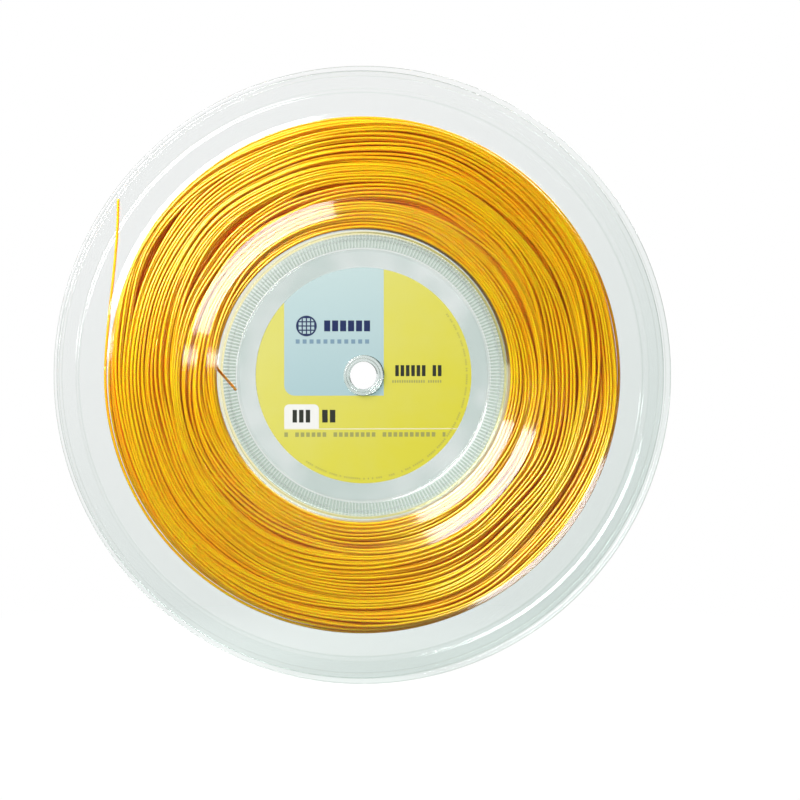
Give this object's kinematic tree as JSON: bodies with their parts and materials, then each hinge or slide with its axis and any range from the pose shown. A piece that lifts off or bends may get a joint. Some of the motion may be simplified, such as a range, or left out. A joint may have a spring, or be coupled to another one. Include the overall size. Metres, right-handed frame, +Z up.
{
  "type": "string reel",
  "caption": "Clear flanged spool wound with golden monofilament racket string, with a round label on each side, a bore for a spindle and a springy free end.",
  "frame": {"origin": "on the axis of the spindle bore, midway between the two flanges", "axes": "Y along the reel's axis, the labelled front with the free end's last turn nearer to it faces -Y, +Z up, +X to the right as seen from the front"},
  "size_m": [0.27, 0.0226, 0.27],
  "materials": {
    "clear_polystyrene": "clear, polished, very slightly cool",
    "label_paper": "coated sticker paper, semi-gloss, yellow with a pale blue-grey panel",
    "string_gold": "glossy golden monofilament, a little translucent"
  },
  "bodies": {
    "spool": {"front_flange": "clear_polystyrene", "rear_flange": "clear_polystyrene", "front_label": "label_paper", "rear_label": "label_paper", "string_start_end": "string_gold", "string_coil": "string_gold"},
    "outer_turn": {"string_outer_turn": "string_gold"},
    "free_end": {"string_free_end": "string_gold"}
  },
  "joints": [
    {"name": "string_payout", "type": "hinge", "parent": "spool", "child": "outer_turn", "pos_m": [0, 0, 0], "axis": [0, 1, 0], "continuous": true},
    {"name": "free_end_swing", "type": "hinge", "parent": "outer_turn", "child": "free_end", "pos_m": [-0.11302, -0.003, 0.00395], "axis": [0, -1, 0], "range_deg": [0, 40], "stiffness_Nm_per_rad": 0.0005}
  ]
}
